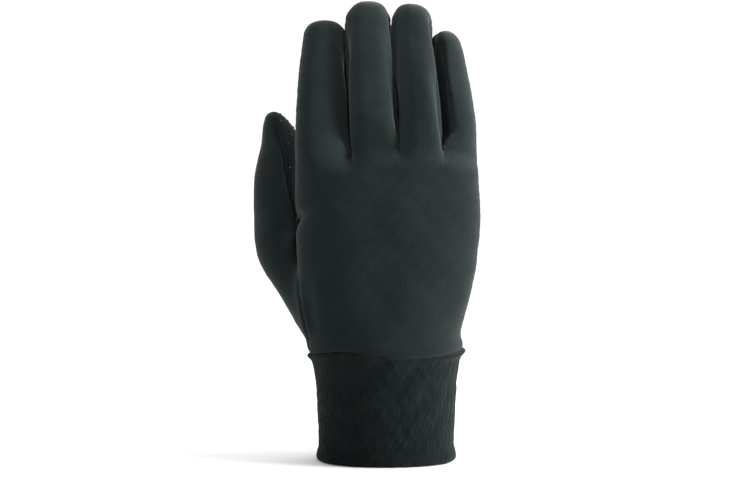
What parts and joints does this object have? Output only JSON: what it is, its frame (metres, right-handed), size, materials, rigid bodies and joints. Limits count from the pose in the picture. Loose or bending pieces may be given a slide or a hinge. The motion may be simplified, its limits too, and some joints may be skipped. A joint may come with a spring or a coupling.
{
  "type": "glove liner",
  "caption": "Close-fitting stretch-knit glove liner for a right hand, full-fingered, with a knitted wrist cuff, in the shape it has when worn.",
  "frame": {"origin": "the middle of the cuff's mouth, level with the hem", "axes": "+Z from the cuff to the fingertips, -Y out of the back of the hand, +Y out of the palm, -X towards the thumb"},
  "size_m": [0.1197, 0.0571, 0.2414],
  "materials": {
    "brushed_knit": "near-black stretch fleece, brushed matt face",
    "grip_knit": "near-black stretch knit, smooth matt face",
    "cuff_knit": "near-black knit with a short looped pile"
  },
  "bodies": {
    "root": {"back_panel": "brushed_knit", "thumb_back": "brushed_knit", "palm_panel": "grip_knit", "side_strip_index_middle": "grip_knit", "side_strip_middle_ring": "grip_knit", "side_strip_ring_little": "grip_knit", "cuff": "cuff_knit"}
  },
  "joints": []
}
